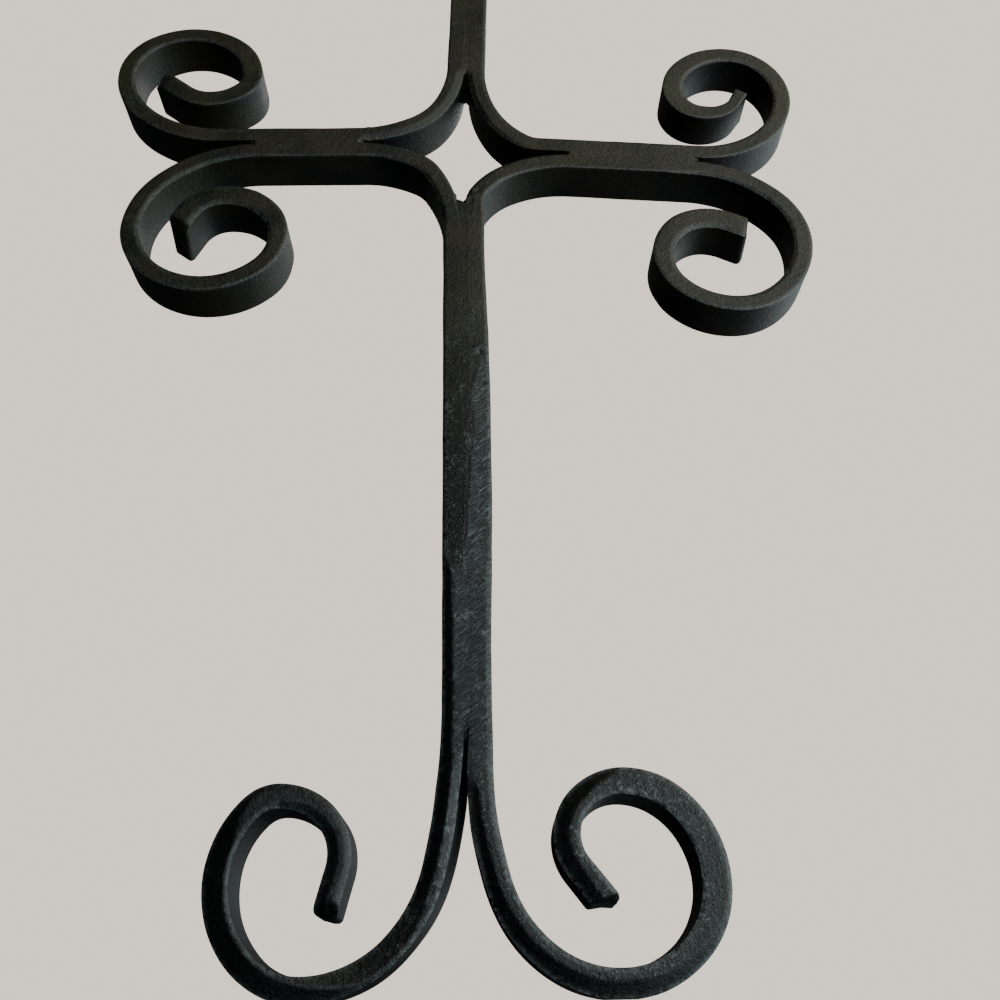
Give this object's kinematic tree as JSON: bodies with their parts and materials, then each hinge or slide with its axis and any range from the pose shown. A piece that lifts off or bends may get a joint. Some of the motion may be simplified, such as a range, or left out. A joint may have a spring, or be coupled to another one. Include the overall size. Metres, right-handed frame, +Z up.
{
  "type": "wrought iron cross",
  "caption": "Wrought iron wall cross of flat bars bent round the crossing and welded side by side, with open scrolls at the arms, the top and the foot.",
  "frame": {"origin": "at the back, on the shaft's line, under the lower end of the top weld at the top of the centre opening, where a nail takes the cross", "axes": "+X to the right along the arms, +Z up the shaft, +Y from the front to the wall; the back lies in the plane Y = 0"},
  "size_m": [0.2503, 0.015, 0.4286],
  "materials": {
    "bar_paint": "satin black paint over forged iron, dusty and worn grey along the edges",
    "weld_paint": "the same black paint over weld metal, ground flush on the faces and lumpy in the corners"
  },
  "bodies": {
    "root": {"upper_left_bar": "bar_paint", "upper_right_bar": "bar_paint", "lower_left_bar": "bar_paint", "lower_right_bar": "bar_paint", "top_arm_weld": "weld_paint", "left_arm_weld": "weld_paint", "right_arm_weld": "weld_paint", "shaft_weld": "weld_paint"}
  },
  "joints": []
}
